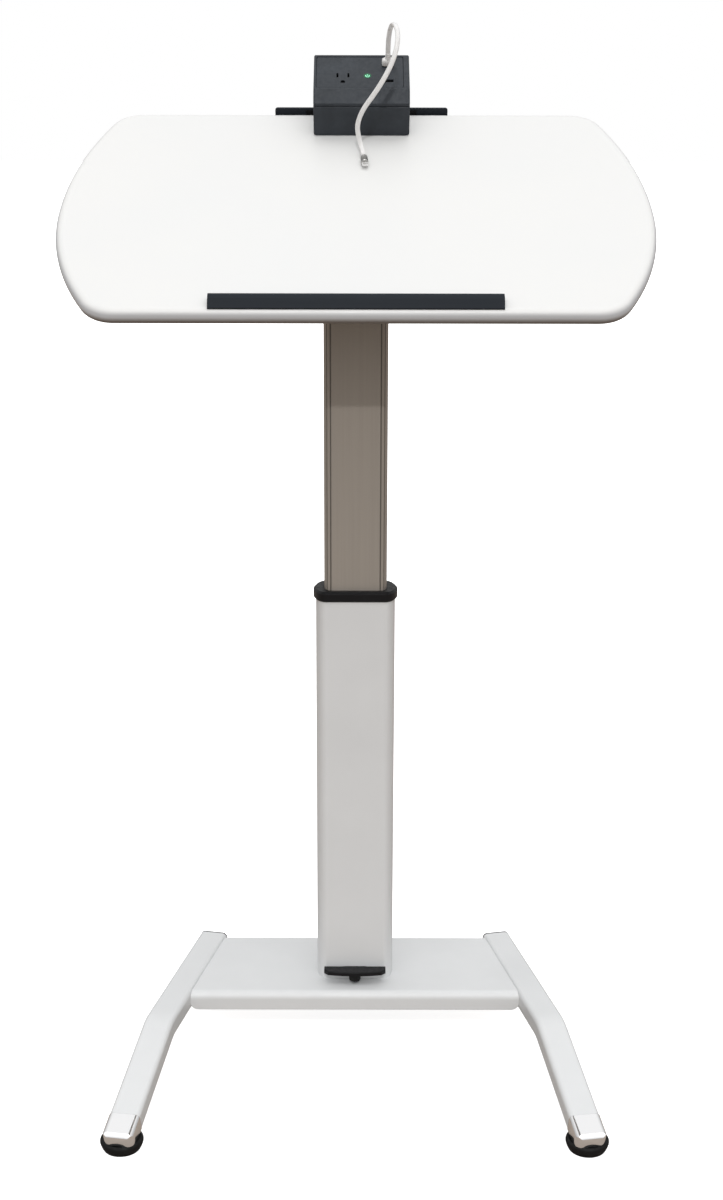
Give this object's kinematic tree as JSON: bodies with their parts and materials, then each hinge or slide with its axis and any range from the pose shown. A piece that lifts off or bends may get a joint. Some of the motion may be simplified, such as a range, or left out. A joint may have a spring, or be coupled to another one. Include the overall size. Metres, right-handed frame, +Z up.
{
  "type": "lectern stand",
  "caption": "Free-standing lectern with a tilting rounded worktop, a paper ledge and a clamp-on power unit, on a gas-lift column with a foot pedal and a splayed base.",
  "frame": {"origin": "centre of the stand's footprint on the floor", "axes": "+X to the reader's right, +Y away from the reader, +Z up"},
  "size_m": [0.656, 0.5222, 1.1991],
  "materials": {
    "white_paint": "satin white powder coat",
    "dark_steel": "satin black",
    "black_paint": "gloss black",
    "zinc_steel": "zinc plated",
    "chrome": "polished",
    "cast_alloy": "as cast",
    "column_aluminium": "satin anodised silver",
    "black_aluminium": "satin anodised black",
    "black_plastic": "fine texture",
    "grey_nylon": "satin",
    "black_rubber": "matte",
    "white_laminate": "satin laminate with a matching edge",
    "charcoal_plastic": "fine moulded texture",
    "contact_plastic": "satin",
    "circuit_board": "satin",
    "green_lens": "clear gloss",
    "lead_white": "soft satin",
    "bright_metal": "satin"
  },
  "bodies": {
    "stand": {"base_plate": "white_paint", "base_stiffener": "dark_steel", "leg_left": "white_paint", "leg_right": "white_paint", "leg_bolts": "zinc_steel", "leg_end_caps": "black_plastic", "toe_cap_left": "chrome", "toe_cap_right": "chrome", "foot_left": "black_rubber", "foot_right": "black_rubber", "foot_studs": "zinc_steel", "wheel_forks": "dark_steel", "wheel_axles": "zinc_steel", "column_foot": "cast_alloy", "column_screws": "zinc_steel", "outer_column": "white_paint", "collar": "black_plastic", "upper_guide": "grey_nylon", "spring_bracket": "dark_steel", "spring_rod": "chrome", "pedal_pin": "zinc_steel"},
    "left_wheel": {"wheel_hub_left": "grey_nylon", "wheel_tyre_left": "black_rubber"},
    "right_wheel": {"wheel_hub_right": "grey_nylon", "wheel_tyre_right": "black_rubber"},
    "pedal": {"pedal_lever": "dark_steel", "pedal_tread": "black_plastic", "pedal_bumper": "black_rubber"},
    "spring_release": {"release_pin": "zinc_steel"},
    "lift": {"inner_column": "column_aluminium", "lower_glide": "grey_nylon", "spring_cylinder": "black_paint", "spring_gland": "grey_nylon", "spring_nut": "zinc_steel", "head_bracket": "dark_steel", "head_screws": "zinc_steel", "tilt_pin": "zinc_steel", "friction_washers": "grey_nylon"},
    "lock": {"lock_knob": "black_plastic"},
    "top": {"board": "white_laminate", "board_bracket": "dark_steel", "board_screws": "zinc_steel", "edge_screws": "zinc_steel", "ledge": "black_aluminium", "rear_rail": "black_aluminium", "unit_base": "charcoal_plastic", "unit_housing": "charcoal_plastic", "unit_faceplate": "charcoal_plastic", "outlet": "contact_plastic", "usb_module": "contact_plastic", "power_board": "circuit_board", "lamp_ring": "green_lens", "lamp_lens": "green_lens", "mains_gland": "black_plastic", "unit_clamp": "dark_steel", "clamp_screw": "black_plastic", "usb_plug": "lead_white", "charge_lead": "lead_white", "lead_connector": "bright_metal"}
  },
  "joints": [
    {"name": "column_lift", "type": "slide", "parent": "stand", "child": "lift", "axis": [0, 0, 1], "range_m": [-0.265, 0.03]},
    {"name": "top_tilt", "type": "hinge", "parent": "lift", "child": "top", "pos_m": [0, 0.0369, 0.945], "axis": [1, 0, 0], "range_deg": [-28.6, 6.4]},
    {"name": "tilt_lock_turn", "type": "hinge", "parent": "lift", "child": "lock", "pos_m": [0.052, 0.0369, 0.945], "axis": [1, 0, 0], "range_deg": [0, 180]},
    {"name": "pedal_press", "type": "hinge", "parent": "stand", "child": "pedal", "pos_m": [0, 0.0209, 0.096], "axis": [1, 0, 0], "range_deg": [0, 8], "stiffness_Nm_per_rad": 4, "springref_deg": -6.88},
    {"name": "release_push", "type": "slide", "parent": "stand", "child": "spring_release", "axis": [0, 0, 1], "range_m": [0, 0.0026]},
    {"name": "left_wheel_spin", "type": "hinge", "parent": "stand", "child": "left_wheel", "pos_m": [-0.19034, 0.0989, 0.0205], "axis": [1, 0, 0], "continuous": true},
    {"name": "right_wheel_spin", "type": "hinge", "parent": "stand", "child": "right_wheel", "pos_m": [0.19034, 0.0989, 0.0205], "axis": [1, 0, 0], "continuous": true}
  ],
  "couplings": [
    {"joint": "release_push", "follows": "pedal_press", "m_per_rad": 0.0185}
  ]
}
